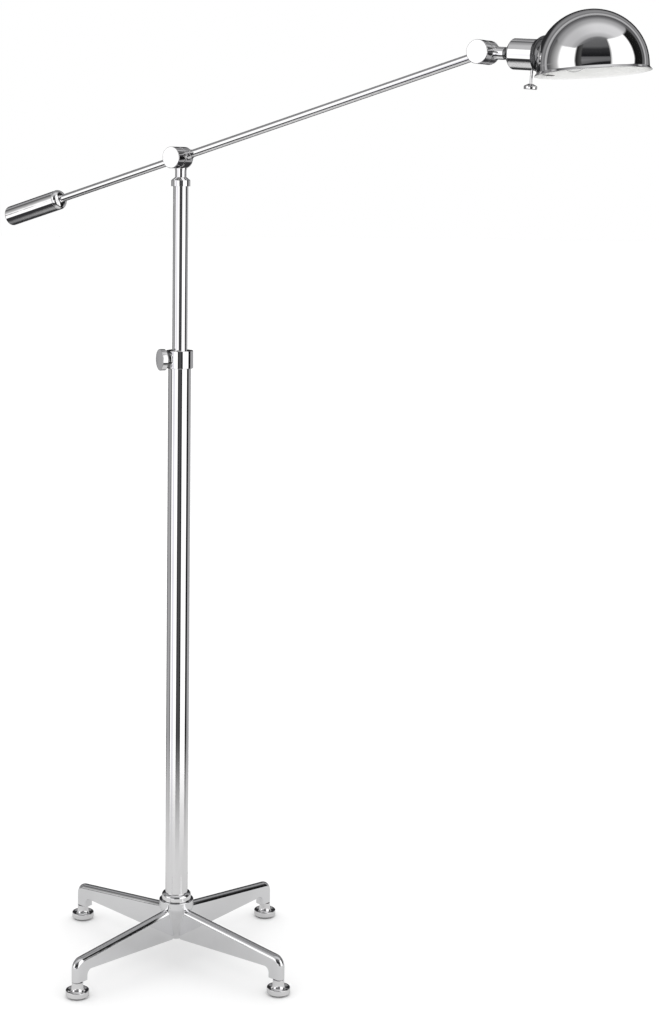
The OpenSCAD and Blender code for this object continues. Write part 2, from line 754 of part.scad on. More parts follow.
module switch_knob() {
    r = switch_knob_d / 2;
    bore_r = switch_stem_d / 2 + seat;
    color("silver") switch_frame() translate([0, 0, switch_reach]) mirror([0, 0, 1]) rotate_extrude()
        polygon([[0, 0], [r - EDGE, 0], [r, EDGE], [r, 4], [r - EDGE, 5], [bore_r + 1.2, 8.2], [bore_r, 8.2],
                 [bore_r, 5.4], [0, 5.4]]);
}

base_casting();
base_ring();
pole_plug();
pole_stud();
pole_washer();
pole_nut();
lower_tube();
cord_grommet();
supply_lead();
clamp_collar();
collar_bush();
clamp_pad();
clamp_screw();
clamp_knob();
guide_bush();
bush_clips();
upper_tube();
mast_cap();
mast_lead();
pivot_fork();
pivot_bolt();
pivot_washer();
pivot_knob();
pivot_block();
front_arm();
arm_lead();
rear_arm();
counterweight();
weight_screw();
head_block();
head_fork();
head_bolt();
head_washer();
head_knob();
swivel_ring();
swivel_nut();
socket_cup();
lamp_holder();
screw_shell();
bulb_cap();
bulb_glass();
shade_ring();
shade_clamp_ring();
shade();
switch_body();
switch_stem();
switch_knob();
for (i = [1 : FOOT_COUNT]) {
    leg_frame(i - 1) translate([foot_reach, 0, 0]) foot();
    leg_frame(i - 1) translate([foot_reach, 0, 0]) glide();
}
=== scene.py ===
"""Looks of the pharmacy floor lamp: turned and cast pieces in polished plate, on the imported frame."""

import json
from math import atan, cos, hypot, pi, radians, sin, tan

import bmesh
import bpy
from mathutils import Matrix, Vector

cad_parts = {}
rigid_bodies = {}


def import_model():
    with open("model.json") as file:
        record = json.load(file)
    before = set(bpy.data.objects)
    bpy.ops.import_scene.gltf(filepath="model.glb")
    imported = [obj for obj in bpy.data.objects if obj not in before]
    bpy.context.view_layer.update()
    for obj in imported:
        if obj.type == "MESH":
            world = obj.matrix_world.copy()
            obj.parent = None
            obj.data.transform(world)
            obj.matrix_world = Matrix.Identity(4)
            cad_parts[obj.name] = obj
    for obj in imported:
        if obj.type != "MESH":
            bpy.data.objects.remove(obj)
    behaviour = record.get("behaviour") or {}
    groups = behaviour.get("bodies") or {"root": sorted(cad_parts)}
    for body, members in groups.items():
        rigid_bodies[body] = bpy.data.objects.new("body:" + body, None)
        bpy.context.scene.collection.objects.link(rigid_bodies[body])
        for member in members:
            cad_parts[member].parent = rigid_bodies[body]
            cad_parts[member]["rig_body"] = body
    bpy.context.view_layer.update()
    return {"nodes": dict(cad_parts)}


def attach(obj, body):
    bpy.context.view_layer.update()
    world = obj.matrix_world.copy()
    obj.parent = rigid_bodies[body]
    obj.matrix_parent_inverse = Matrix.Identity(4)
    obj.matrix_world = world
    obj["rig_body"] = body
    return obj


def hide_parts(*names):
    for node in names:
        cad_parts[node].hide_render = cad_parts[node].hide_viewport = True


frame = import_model()
nodes = frame["nodes"]

MM = 0.001
STEPS = 112            # sides of a turned piece
FINE = 0.35            # eased corner of a plated part, mm
SHARP = radians(14)    # a corner steeper than this is eased


# ---- Places: where each group of pieces sits, as in the part's source ----

def move(x=0.0, y=0.0, z=0.0):
    return Matrix.Translation(Vector((x, y, z)) * MM)


def turn(degrees, axis):
    return Matrix.Rotation(radians(degrees), 4, axis)


ARM_TILT = 15
HEAD_DROP = 4.5        # of the head below level, degrees
PIVOT_HEIGHT = 1355
ARM_LENGTH = 600
SHADE_REACH = 175.5    # shade's centre from the head joint, along the head
SHADE_DROP = 10
SHADE_TILT = 8.5
LEG_TURN = -5          # of the first leg from +X
CLAMP_TURN = -120
CLAMP_HEIGHT = 1016
pivot = move(z=PIVOT_HEIGHT)
arm = pivot @ turn(-ARM_TILT, "Y")
head_joint = arm @ move(x=ARM_LENGTH)
head = head_joint @ turn(ARM_TILT + HEAD_DROP, "Y")
shade_place = head @ move(x=SHADE_REACH, z=-SHADE_DROP) @ turn(-SHADE_TILT, "Y")
ALONG = turn(90, "Y")        # turns a piece's axis to +X
BACKWARD = turn(-90, "Y")    # turns a piece's axis to -X
FRONT = turn(90, "X")        # turns a piece's axis to -Y, where the knobs are


def outward(degrees, z):
    return move(z=z) @ turn(degrees, "Z") @ ALONG


def leg_place(number):
    return turn(LEG_TURN + 90 * number, "Z")


clamp_way = outward(CLAMP_TURN, CLAMP_HEIGHT)
upright_pole = Matrix.Identity(4)


# ---- Shader maths ----

class Socket:
    """A number in a shader tree, with Python's operators as Math nodes."""

    def __init__(self, tree, output):
        self.tree, self.output = tree, output

    def math(self, operation, *others, clamp=False):
        node = self.tree.nodes.new("ShaderNodeMath")
        node.operation, node.use_clamp = operation, clamp
        for socket, value in zip(node.inputs, (self, *others)):
            if isinstance(value, Socket):
                self.tree.links.new(value.output, socket)
            else:
                socket.default_value = value
        return Socket(self.tree, node.outputs[0])

    def number(self, value):
        node = self.tree.nodes.new("ShaderNodeValue")
        node.outputs[0].default_value = value
        return Socket(self.tree, node.outputs[0])

    def __add__(self, other): return self.math("ADD", other)
    def __sub__(self, other): return self.math("SUBTRACT", other)
    def __mul__(self, other): return self.math("MULTIPLY", other)
    def __truediv__(self, other): return self.math("DIVIDE", other)
    def __rsub__(self, other): return self.number(other).math("SUBTRACT", self)
    __radd__, __rmul__ = __add__, __mul__

    def clamped(self):
        return self.math("ADD", 0.0, clamp=True)

    def step(self, low, high):
        """0 below low, 1 above high, smooth between."""
        share = ((self - low) / (high - low)).clamped()
        return share * share * (3.0 - share * 2.0)


class Tree:
    """A material's or world's nodes, built from Python."""

    def __init__(self, tree):
        self.tree = tree
        tree.nodes.clear()

    def node(self, kind, settings=None, out=0, **sockets):
        """A node. Sockets go by name, or by number after an underscore. A ramp's settings are its stops."""
        node = self.tree.nodes.new(kind)
        settings = dict(settings or {})
        if "stops" in settings:
            stops, points = settings.pop("stops"), node.color_ramp.elements
            node.color_ramp.interpolation = settings.pop("blend")
            while len(points) < len(stops):
                points.new(0.5)
            for point, (place, colour) in zip(points, stops):
                point.position, point.color = place, (*colour, 1)
        for key, value in settings.items():
            setattr(node, key, value)
        for key, value in sockets.items():
            socket = node.inputs[int(key[1:]) if key[0] == "_" else key.replace("_", " ")]
            if isinstance(value, Socket):
                self.tree.links.new(value.output, socket)
            else:
                socket.default_value = value
        return Socket(self.tree, node.outputs[out]) if node.outputs else None

    def ramp(self, factor, stops, blend="EASE"):
        return self.node("ShaderNodeValToRGB", {"stops": stops, "blend": blend}, _0=factor)

    def mix(self, factor, first, second):
        return self.node("ShaderNodeMix", {"data_type": "RGBA"}, out=2, _0=factor, _6=first, _7=second)

    def object_point(self, place=None):
        """The point that is shaded, in object space or in a piece's own frame."""
        point = self.node("ShaderNodeTexCoord", out=3)
        if place is None:
            return point
        inverse = place.inverted()
        return self.node("ShaderNodeMapping", Vector=point, Location=inverse.to_translation(),
                         Rotation=inverse.to_euler())

    def noise(self, scale, detail=2.0, roughness=0.5, stretch=(1, 1, 1)):
        point = self.object_point()
        if stretch != (1, 1, 1):
            point = self.node("ShaderNodeMapping", Vector=point, Scale=stretch)
        return self.node("ShaderNodeTexNoise", Vector=point, Scale=scale, Detail=detail, Roughness=roughness)

    def radius(self, place):
        """Distance from a piece's own axis, in metres."""
        flat = self.node("ShaderNodeMapping", Vector=self.object_point(place), Scale=(1, 1, 0))
        return self.node("ShaderNodeVectorMath", {"operation": "LENGTH"}, out=1, _0=flat)

    def bump(self, height, strength, distance):
        return self.node("ShaderNodeBump", Height=height, Strength=strength, Distance=distance)

    def surface(self, **sockets):
        shader = self.node("ShaderNodeBsdfPrincipled", **sockets)
        self.node("ShaderNodeOutputMaterial", Surface=shader)


def new_material(name):
    material = bpy.data.materials.new(name)
    material.use_nodes = True
    return material, Tree(material.node_tree)


def plate(name, tint, rough=0.035, haze=0.03, ripple=0.03, round_axis=None, brushed=0.0):
    """Polished plate: faint haze in the polish, a slow ripple, and fine turning lines round an axis."""
    material, tree = new_material(name)
    haze_spots = tree.noise(22.0, 4.0, 0.6)
    wiping = tree.noise(160.0, 3.0, 0.65, stretch=(1, 1, 0.16))
    polish = (haze_spots.step(0.45, 0.75) * 0.7 + wiping.step(0.5, 0.8) * 0.3) * haze + rough
    dark = tuple(channel * 0.94 for channel in tint)
    colour = tree.mix(tree.noise(9.0, 3.0).step(0.4, 0.7), (*tint, 1), (*dark, 1))
    height = tree.noise(34.0, 1.5)
    normal = tree.bump(height, ripple, 0.002)
    if round_axis is not None:
        lines = tree.radius(round_axis) * 16000.0 + tree.noise(300.0) * 1.5
        normal = tree.node("ShaderNodeBump", Height=lines.math("SINE"), Strength=brushed, Distance=0.00003,
                           Normal=normal)
    tree.surface(Base_Color=colour, Metallic=1.0, Roughness=polish, Normal=normal)
    return material


def moulded(name, colour, rough=0.45, grain=900.0, depth=0.2, coat=0.0, mottle=0.1):
    """Plastic or rubber: a fine moulded grain, a slow mottle in colour, dust in the pores."""
    material, tree = new_material(name)
    patches = tree.noise(40.0, 4.0, 0.6)
    fine = tree.noise(grain, 3.0, 0.6)
    other = tuple(min(1, channel * (1 + mottle) + mottle * 0.02) for channel in colour)
    mixed = tree.mix(patches.step(0.35, 0.7), (*colour, 1), (*other, 1))
    tree.surface(Base_Color=mixed, Roughness=patches * 0.15 + fine * 0.1 + (rough - 0.12),
                 Coat_Weight=coat, Normal=tree.bump(fine, depth, 0.0004))
    return material


def threaded(name, tint, place, pitch, rough=0.2):
    """Spun thread on a lamp cap or holder shell, with a burnish that varies."""
    material, tree = new_material(name)
    along = tree.node("ShaderNodeSeparateXYZ", out=2, Vector=tree.object_point(place))
    thread = (along * (2 * pi / (pitch * MM))).math("SINE")
    wear = tree.noise(60.0, 3.0)
    dark = tuple(channel * 0.7 for channel in tint)
    colour = tree.mix(wear.step(0.35, 0.65), (*tint, 1), (*dark, 1))
    tree.surface(Base_Color=colour, Metallic=1.0, Roughness=wear * 0.15 + rough,
                 Normal=tree.bump(thread, 0.9, 0.0006))
    return material


NICKEL = (0.93, 0.925, 0.93)
knob_faces = {"pivot_knob": pivot @ FRONT, "head_knob": head @ FRONT, "clamp_knob": clamp_way}
chrome = plate("polished plate", NICKEL)
tube_chrome = plate("drawn tube plate", NICKEL, rough=0.03, ripple=0.012)
cast_chrome = plate("cast plate", (0.9, 0.9, 0.91), rough=0.05, haze=0.05, ripple=0.09)
shade_chrome = plate("spun shade plate", NICKEL, rough=0.03, ripple=0.03, round_axis=shade_place,
                     brushed=0.05)
weight_chrome = plate("counterweight plate", NICKEL, rough=0.03, ripple=0.12, round_axis=arm @ BACKWARD,
                      brushed=0.1)
knob_chrome = {name: plate(name + " plate", NICKEL, rough=0.03, ripple=0.01, round_axis=place, brushed=0.05)
               for name, place in knob_faces.items()}
# Dark plate: the swivel ring's own dark finish. On the chrome shade seat ring it is a painted dark
# reflection, and on the clamp boss's cone it is painted shade.
black_plate_and_painted_shade = plate("black plate and painted shade", (0.2, 0.2, 0.205), rough=0.1, haze=0.08)
steel = plate("zinc plated steel", (0.62, 0.62, 0.6), rough=0.3, haze=0.15, ripple=0.15)
aluminium = plate("turned aluminium", (0.75, 0.75, 0.76), rough=0.28, haze=0.12, ripple=0.1)
cap_metal = threaded("lamp cap", (0.8, 0.79, 0.76), head @ ALONG, 3.6)
brass = threaded("threaded brass", (0.78, 0.58, 0.28), head @ ALONG, 3.6)
pad_brass = plate("turned brass", (0.78, 0.58, 0.28), rough=0.25, haze=0.1)
nylon = moulded("white nylon", (0.82, 0.81, 0.78), rough=0.42, depth=0.12, mottle=0.04)
glide = moulded("glide nylon", (0.09, 0.09, 0.09), rough=0.55)
rubber = moulded("black rubber", (0.025, 0.025, 0.025), rough=0.6, grain=1400.0)
sheath = moulded("lead sheath", (0.05, 0.05, 0.052), rough=0.5, grain=1800.0)
phenolic = moulded("lamp holder phenolic", (0.06, 0.06, 0.06), rough=0.3, depth=0.08, mottle=0.05)
opal = moulded("opal glass", (0.88, 0.88, 0.87), rough=0.2, grain=200.0, depth=0.02, coat=0.6, mottle=0.03)
enamel = moulded("white enamel", (0.95, 0.95, 0.94), rough=0.32, grain=500.0, depth=0.06, coat=0.3,
                 mottle=0.03)


# ---- Turned shapes ----

def link(name, mesh):
    item = bpy.data.objects.new(name, mesh)
    bpy.context.scene.collection.objects.link(item)
    return item


def ease(bm, width, steepest=SHARP, only=None):
    """Rounds a shape's steep corners, or only those edges that a test passes."""
    edges = [edge for edge in bm.edges
             if len(edge.link_faces) == 2 and edge.calc_face_angle(0) > steepest and (not only or only(edge))]
    if edges:
        bmesh.ops.bevel(bm, geom=edges, offset=width * MM, offset_type="OFFSET", segments=3, profile=0.5,
                        affect="EDGES", clamp_overlap=True, material=-1)


def turned(profile, place, corner=FINE, corners=None, hollow=False, steps=STEPS):
    """A turned shape: its profile, as radius and height in mm, goes round Z and is then put in place."""
    bm = bmesh.new()
    points = [bm.verts.new((radius * MM, 0, height * MM)) for radius, height in profile]
    following = points[1:] + points[:1] if hollow else points[1:]
    lines = [bm.edges.new(pair) for pair in zip(points, following)]
    bmesh.ops.spin(bm, geom=points + lines, cent=(0, 0, 0), axis=(0, 0, 1), angle=2 * pi, steps=steps,
                   use_merge=True)
    bmesh.ops.remove_doubles(bm, verts=bm.verts, dist=1e-7)
    bmesh.ops.recalc_face_normals(bm, faces=bm.faces)
    for index, (radius, height) in enumerate(profile):
        width = (corners or {}).get(index, corner)

        def on_corner(edge, radius=radius, height=height):
            return all(abs(hypot(v.co.x, v.co.y) - radius * MM) < 2e-6 and abs(v.co.z - height * MM) < 2e-6
                       for v in edge.verts)
        if width and radius:
            ease(bm, width, only=on_corner)
    bmesh.ops.transform(bm, matrix=place, verts=bm.verts)
    return bm


def combine(bm, other, operation="UNION"):
    """One shape joined to, or cut by, another."""
    meshes = []
    for shape in (bm, other):
        mesh = bpy.data.meshes.new("work")
        shape.to_mesh(mesh)
        shape.free()
        meshes.append(link("work", mesh))
    first, second = meshes
    cut = first.modifiers.new("cut", "BOOLEAN")
    cut.operation, cut.object, cut.solver = operation, second, "EXACT"
    done = first.evaluated_get(bpy.context.evaluated_depsgraph_get()).to_mesh()
    result = bmesh.new()
    result.from_mesh(done)
    for item in meshes:
        mesh = item.data
        bpy.data.objects.remove(item)
        bpy.data.meshes.remove(mesh)
    bmesh.ops.remove_doubles(result, verts=result.verts, dist=2e-6)
    bmesh.ops.dissolve_degenerate(result, edges=result.edges, dist=2e-6)
    return result


def piece(name, bm, materials, node):
    """Makes a shape a piece that stands for a CAD node and moves with that node's body."""
    mesh = bpy.data.meshes.new(name)
    bm.to_mesh(mesh)
    bm.free()
    mesh.shade_smooth()
    for material in materials if isinstance(materials, (list, tuple)) else (materials,):
        mesh.materials.append(material)
    item = link(name, mesh)
    even = item.modifiers.new("Even shading", "WEIGHTED_NORMAL")
    even.weight, even.keep_sharp = 50, False
    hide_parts(node)
    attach(item, nodes[node]["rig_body"])


# ---- Base ----

LEG_HALF = 8
LEG_END = 24
LEG_ROOT_TOP = 82       # ridge height where a leg leaves the hub
LEG_TIP_TOP = 62
LEG_TIP_UNDER = 41
FOOT_REACH = 230
BEND_R = 10            # of the half-round edge's centre line
BEND_X = 222
FILLET_R = 9
INNER_X = 215
HUB_R = 29
HUB_UNDER = 31
HUB_TAPER_TOP = 84
HUB_TOP = 96
CORE_R = 14
SOCKET_R = 19.07        # bore that the lower tube sits in
SOCKET_FLOOR = 60
BEND_STEPS = 16
slope = atan((LEG_ROOT_TOP - LEG_TIP_TOP) / (FOOT_REACH - HUB_R))
ridge_run = (BEND_X - HUB_R + (BEND_R + LEG_HALF) * sin(slope)) / cos(slope)
bend_z = LEG_ROOT_TOP - (BEND_R + LEG_HALF) * cos(slope) - ridge_run * sin(slope)
under_slope = atan((LEG_TIP_UNDER - HUB_UNDER) / (INNER_X - CORE_R))


def leg_stations():
    """Pairs along a leg: the half-round edge's centre with its direction, and the point under it."""
    bend_start = Vector((BEND_X + BEND_R * sin(slope), 0, bend_z + BEND_R * cos(slope)))
    corner = Vector((INNER_X - FILLET_R, 0,
                     LEG_TIP_UNDER - FILLET_R * (tan(under_slope) + 1 / cos(under_slope))))
    fillet_start = corner + FILLET_R * Vector((sin(-under_slope), 0, cos(under_slope)))
    root_x = 16
    up = Vector((sin(slope), 0, cos(slope)))
    root_top = bend_start - (ridge_run + 12) * Vector((cos(slope), 0, -sin(slope)))
    root_under = Vector((root_x, 0, fillet_start.z - (fillet_start.x - root_x) * tan(under_slope)))
    stations = [(root_top.lerp(bend_start, share), up, root_under.lerp(fillet_start, share))
                for share in (0, 0.25, 0.5, 0.75)]
    for number in range(BEND_STEPS + 1):
        share = number / BEND_STEPS
        lean = slope + share * (pi / 2 - slope)
        way = Vector((sin(lean), 0, cos(lean)))
        round_by = -under_slope + share * (pi / 2 + under_slope)
        stations.append((Vector((BEND_X, 0, bend_z)) + BEND_R * way, way,
                         corner + FILLET_R * Vector((sin(round_by), 0, cos(round_by)))))
    stations.append((Vector((BEND_X + BEND_R, 0, LEG_END)), Vector((1, 0, 0)), Vector((INNER_X, 0, LEG_END))))
    return stations


def leg_section(centre, way, under):
    """Points round a leg: its half-round edge, then its two lower corners."""
    side = Vector((0, 1, 0))
    rounds = [centre + LEG_HALF * (cos(a) * side + sin(a) * way)
              for a in (pi * step / 18 for step in range(19))]
    return [point * MM for point in rounds + [under - LEG_HALF * side, under + LEG_HALF * side]]


def leg_shape(number):
    """A leg drawn out from one section to the next along its stations."""
    bm = bmesh.new()
    stations = leg_stations()
    ring = [bm.verts.new(point) for point in leg_section(*stations[0])]
    face = bm.faces.new(ring)
    for station in stations[1:]:
        made = bmesh.ops.extrude_face_region(bm, geom=[face], use_keep_orig=True)["geom"]
        fresh = [v for v in made if isinstance(v, bmesh.types.BMVert)]
        pairs = {tuple(round(c, 7) for c in old.co): at for old, at in zip(ring, leg_section(*station))}
        order = list(pairs)
        placed = {}
        for vert in fresh:
            key = tuple(round(c, 7) for c in vert.co)
            placed[order.index(key)] = vert
            vert.co = pairs[key]
        if station is not stations[1]:
            bmesh.ops.delete(bm, geom=[face], context="FACES_ONLY")
        ring = [placed[index] for index in range(len(order))]
        face = next(f for f in made if isinstance(f, bmesh.types.BMFace))
    bmesh.ops.recalc_face_normals(bm, faces=bm.faces)
    ease(bm, 0.9, steepest=radians(50))
    bmesh.ops.transform(bm, matrix=leg_place(number), verts=bm.verts)
    return bm


base = turned([(0, HUB_UNDER), (CORE_R, HUB_UNDER), (CORE_R, HUB_UNDER + 5), (HUB_R, HUB_TAPER_TOP),
               (HUB_R, HUB_TOP), (0, HUB_TOP)], upright_pole, corner=0, corners={3: 1.5, 4: 1})
for number in range(4):
    base = combine(base, leg_shape(number))
# From below: a pocket for the nut. From above: the tube's socket. Between them: the stud's hole.
for bore_r, bottom, top in ((10, 20, 40), (SOCKET_R, SOCKET_FLOOR, 110), (4.02, 38, SOCKET_FLOOR)):
    bore = turned([(0, bottom), (bore_r, bottom), (bore_r, top), (0, top)], upright_pole, corner=0)
    base = combine(base, bore, "DIFFERENCE")
piece("cast_base", base, cast_chrome, "base_casting")

piece("hub_bead", turned(
    [(SOCKET_R, HUB_TOP), (25, HUB_TOP), (25, 102.5), (24.45, 104.8), (22.95, 106.7), (20.9, 107.75),
     (SOCKET_R, 107.95)], upright_pole, corner=0.6, hollow=True), chrome, "base_ring")

for number in range(1, 5):
    place = leg_place(number - 1) @ move(x=FOOT_REACH)
    piece(f"levelling_foot_{number}", turned(
        [(0, 2), (19, 2), (19, 11), (16.5, 10.8), (12.5, 9.4), (10.9, 11), (9.8, 14.5), (9.3, 18.5),
         (9.3, 23.6), (4, 23.6), (4, 41), (0, 41)], place, corner=0.3, corners={1: 1, 2: 1}),
        chrome, f"foot_{number}")
    piece(f"foot_glide_{number}", turned([(0, 0), (16, 0), (16, 2), (0, 2)], place, corner=0.4),
          glide, f"glide_{number}")


# ---- Pole ----

LOWER_IN, LOWER_OUT, LOWER_TOP = 17.55, 19.05, 1024
UPPER_IN, UPPER_OUT = 11.3, 12.7
UPPER_BOTTOM, UPPER_TOP = 793, 1314
COLLAR_BOTTOM, COLLAR_TOP, COLLAR_R = 1001, 1031, 22.6
CAP_BORE = 12.72

for name, inner, outer, bottom, top, node in (
        ("outer_tube", LOWER_IN, LOWER_OUT, SOCKET_FLOOR, LOWER_TOP, "lower_tube"),
        ("inner_tube", UPPER_IN, UPPER_OUT, UPPER_BOTTOM, UPPER_TOP, "upper_tube")):
    piece(name, turned([(inner, bottom), (outer, bottom), (outer, top), (inner, top)], upright_pole,
                       hollow=True), tube_chrome, node)

collar = turned([(SOCKET_R, COLLAR_BOTTOM), (COLLAR_R, COLLAR_BOTTOM), (COLLAR_R, COLLAR_TOP),
                 (13, COLLAR_TOP), (13, LOWER_TOP), (SOCKET_R, LOWER_TOP)],
                upright_pole, corner=0.25, corners={1: 1, 2: 1}, hollow=True)
boss = turned([(3.1, 14), (14.7, 14), (14.7, 21), (11.5, 26.5), (3.1, 26.5)], clamp_way, corner=0,
              corners={2: 1.2, 3: 0.5}, hollow=True)
bore = turned([(0, 990), (19.06, 990), (19.06, 1023.9), (0, 1023.9)], upright_pole, corner=0)
collar = combine(combine(collar, boss), bore, "DIFFERENCE")
CONE_START = 20.6      # the boss's cone is painted dark from here out, as painted shade under the knob
# Painted shade: the chrome boss's cone, in the knob's shadow gap, gets the dark plate instead of chrome.
to_boss = clamp_way.inverted()
for face in collar.faces:
    face.material_index = 1 if (to_boss @ face.calc_center_median()).z > CONE_START * MM else 0
piece("collar", collar, [chrome, black_plate_and_painted_shade], "clamp_collar")
piece("clamp_hand_knob", turned([(0, 27), (18, 27), (18, 36.5), (0, 36.5)], clamp_way,
                                corners={1: 1, 2: 1}), knob_chrome["clamp_knob"], "clamp_knob")

piece("stem_cap", turned(
    [(CAP_BORE, 1307), (16, 1307), (16, 1317), (9.9, 1322), (6.02, 1322), (6.02, UPPER_TOP),
     (CAP_BORE, UPPER_TOP)], upright_pole, corner=0.3, corners={2: 0.5}, hollow=True),
    chrome, "mast_cap")


# ---- Tilt joints ----

JOINT_R = 18
CHEEK_IN = 8.1
CHEEK_OUT = 10.5
KNOB_BACK = 11.6


def yoke(place, stem_way, spigot):
    """Two cheeks on a turned stem, with a saddle cut between them for the block."""
    stem = turned([(0, -33 - spigot), (6, -33 - spigot), (6, -33), (9.5, -33), (9.5, -22), (10.35, -18),
                   (10.35, -9), (0, -9)], place @ stem_way, corner=0, corners={3: 0.3, 4: 2, 5: 1.5})
    saddle = turned([(0, -CHEEK_IN), (JOINT_R + 1.8, -CHEEK_IN), (JOINT_R + 1.8, CHEEK_IN), (0, CHEEK_IN)],
                    place @ FRONT, corner=0)
    shape = combine(stem, saddle, "DIFFERENCE")
    for start in (-CHEEK_OUT, CHEEK_IN):
        cheek = turned([(4, start), (JOINT_R, start), (JOINT_R, start + CHEEK_OUT - CHEEK_IN),
                        (4, start + CHEEK_OUT - CHEEK_IN)], place @ FRONT, corner=0.3, hollow=True)
        shape = combine(shape, cheek)
    return shape


def knuckle(place, sides):
    """A round block with a boss for each rod."""
    shape = turned([(4, -7.8), (JOINT_R, -7.8), (JOINT_R, 7.8), (4, 7.8)], place @ FRONT, corner=0.5,
                   hollow=True)
    for way in sides:
        boss = turned([(0, 9), (7.5, 9), (7.25, 25), (0, 25)], place @ way, corner=0, corners={2: 0.5})
        shape = combine(shape, boss)
    return shape


piece("pivot_yoke", yoke(pivot, upright_pole, 8), chrome, "pivot_fork")
piece("head_yoke", yoke(head, BACKWARD, 11.8), chrome, "head_fork")
piece("pivot_knuckle", knuckle(arm, [ALONG, BACKWARD]), chrome, "pivot_block")
piece("head_knuckle_block", knuckle(head_joint, [BACKWARD]), chrome, "head_block")

for joint, place in (("pivot", pivot), ("head", head)):
    front = place @ FRONT
    piece(joint + "_hand_knob", turned(
        [(0, KNOB_BACK), (JOINT_R, KNOB_BACK), (JOINT_R, KNOB_BACK + 16), (0, KNOB_BACK + 16)], front,
        corners={1: 0.6, 2: 1.1}), knob_chrome[joint + "_knob"], joint + "_knob")
    piece(joint + "_friction_washer", turned([(4.02, 10.5), (17.5, 10.5), (17.5, 11.3), (4.02, 11.3)], front,
                                             corner=0.12, hollow=True), steel, joint + "_washer")
    piece(joint + "_through_bolt", turned(
        [(0, -13.5), (2.6, -13.5), (3.2, -12.4), (4.2, -12.4), (4.9, -13.5), (8.5, -13.5), (8.5, -10.5),
         (4, -10.5), (4, 23.6), (0, 23.6)], front, corner=0.2, corners={5: 0.9}),
        chrome, joint + "_bolt")


# ---- Arm ----

ROD_R = 6.35
piece("front_rod", turned([(5.15, 9), (ROD_R, 9), (ROD_R, 591), (5.15, 591)], arm @ ALONG, hollow=True),
      tube_chrome, "front_arm")
piece("rear_rod", turned([(0, 9), (ROD_R, 9), (ROD_R, 397), (0, 397)], arm @ BACKWARD), tube_chrome,
      "rear_arm")
piece("counterbalance", turned(
    [(6.37, 278.4), (9, 278), (13, 278.9), (15.8, 281), (17.5, 284.4), (17.5, 286.6), (16.7, 286.6),
     (16.7, 287.8), (17.5, 287.8), (17.5, 405), (0, 405), (0, 397.2), (6.37, 397.2)], arm @ BACKWARD,
    corner=0.2, corners={1: 0.6, 2: 1.6, 3: 1.4, 4: 1.6, 9: 2.8}), weight_chrome, "counterweight")


# ---- Head ----

CUP_START, CUP_END, CUP_R = 37, 88, 23
HOLDER_HOLE = 16.3      # in the ring and the shade, round the holder
HOLDER_END = 112
axis = head @ ALONG
piece("swivel_collar", turned([(6.02, 33), (9, 33), (9, 36.7), (6.02, 36.7)], axis, corner=0.5, hollow=True),
      black_plate_and_painted_shade, "swivel_ring")
piece("cup", turned(
    [(6.05, CUP_START), (9.8, CUP_START), (22, 46.5), (CUP_R, 47.8), (CUP_R, CUP_END), (21.5, CUP_END),
     (21.5, 48.5), (11, 40), (6.05, 40)], axis, corner=0.25, corners={2: 1.2, 3: 1.2}, hollow=True),
    chrome, "socket_cup")
ring_shape = turned([(HOLDER_HOLE, CUP_END), (23.02, CUP_END), (23.02, 86.2), (23.9, 86.2), (24.3, CUP_END),
                     (27, 91.5), (28.9, 95), (29.5, 98.5), (29.5, HOLDER_END), (HOLDER_HOLE, HOLDER_END)],
                    axis, corner=0.2, corners={5: 3, 6: 2, 7: 2}, hollow=True)


def arc(radius, start, end, parts):
    """Points on a circle round the profile's origin, by height angle in degrees."""
    return [(radius * cos(radians(start + (end - start) * part / parts)),
             radius * sin(radians(start + (end - start) * part / parts))) for part in range(parts + 1)]


DOME = 80               # radius outside
INNER = DOME - 1.2
SKIRT = -8              # where the dome's straight rim ends
SEAT_GAP = 0.05
DOME_STEPS, ARC_STEPS = 160, 60
plain_dome = turned(
    [(0, SKIRT), (DOME + SEAT_GAP, SKIRT)] + arc(DOME + SEAT_GAP, 0, 90, ARC_STEPS)[:-1]
    + [(0, DOME + SEAT_GAP)], shade_place, corner=0, steps=DOME_STEPS)
# Painted dark reflection: the chrome seat ring gets the dark plate, standing for the dark room it reflects.
piece("shade_seat_ring", combine(ring_shape, plain_dome, "DIFFERENCE"), black_plate_and_painted_shade, "shade_ring")

outer_side = [(0, DOME)] + arc(DOME, 90, 0, ARC_STEPS)[1:]
lip = [(DOME, -7.2), (DOME + 0.7, -8.2), (DOME + 3.0, -11.0), (DOME + 3.5, -11.5), (DOME + 3.45, -11.85),
       (DOME + 3.1, -12), (INNER + 3, -12), (INNER, SKIRT)]
inner_side = arc(INNER, 0, 90, ARC_STEPS)[:-1] + [(0, INNER)]
dome = turned(outer_side + lip + inner_side, shade_place, corner=0, steps=DOME_STEPS)
hole = turned([(0, 60), (HOLDER_HOLE, 60), (HOLDER_HOLE, 130), (0, 130)], axis, corner=0)
dome = combine(dome, hole, "DIFFERENCE")
to_shade = shade_place.inverted()
WALL_MIDDLE = (DOME + INNER) / 2


def is_inside(middle):
    """True for a face of the sheet's inner side, where the lip flares out below the skirt too."""
    if middle.z > 0:
        return middle.length < WALL_MIDDLE
    return hypot(middle.x, middle.y) < WALL_MIDDLE - min(0, middle.z + 7.5) * 0.8


for face in dome.faces:
    face.material_index = 1 if is_inside(to_shade @ face.calc_center_median() / MM) else 0
piece("dome_shade", dome, [shade_chrome, enamel], "shade")

bulb = [(0, 0), (12.5, 0), (13.3, 6)] + arc(22, -35, 90, 30)
bulb = bulb[:3] + [(radius, height + 33) for radius, height in bulb[3:-1]] + [(0, 55)]
piece("bulb_globe", turned(bulb, axis @ move(z=HOLDER_END), corner=0.4, corners={2: 3, 3: 4}),
      opal, "bulb_glass")

